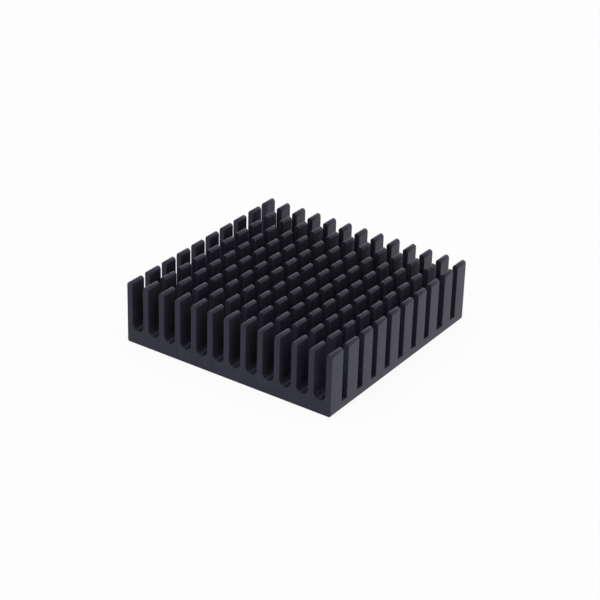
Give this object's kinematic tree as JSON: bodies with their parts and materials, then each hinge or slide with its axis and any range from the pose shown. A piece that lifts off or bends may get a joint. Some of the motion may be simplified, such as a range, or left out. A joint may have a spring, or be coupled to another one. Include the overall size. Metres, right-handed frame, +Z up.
{
  "type": "pin fin heat sink",
  "caption": "Square black anodised heat sink: a thin flat base carries a dense field of upright flat pins with rounded tips, so air can cross it in both directions.",
  "frame": {"origin": "middle of the underside, the flat face that meets the chip", "axes": "+X across the fins, +Y along the fins from the first row of pins to the last, +Z up from the underside to the fin tips"},
  "size_m": [0.04, 0.04, 0.011],
  "materials": {
    "black_anodised": "satin black anodised, with faint streaks up the faces, a fine grain and slightly worn edges"
  },
  "bodies": {
    "root": {"heat_sink": "black_anodised"}
  },
  "joints": []
}
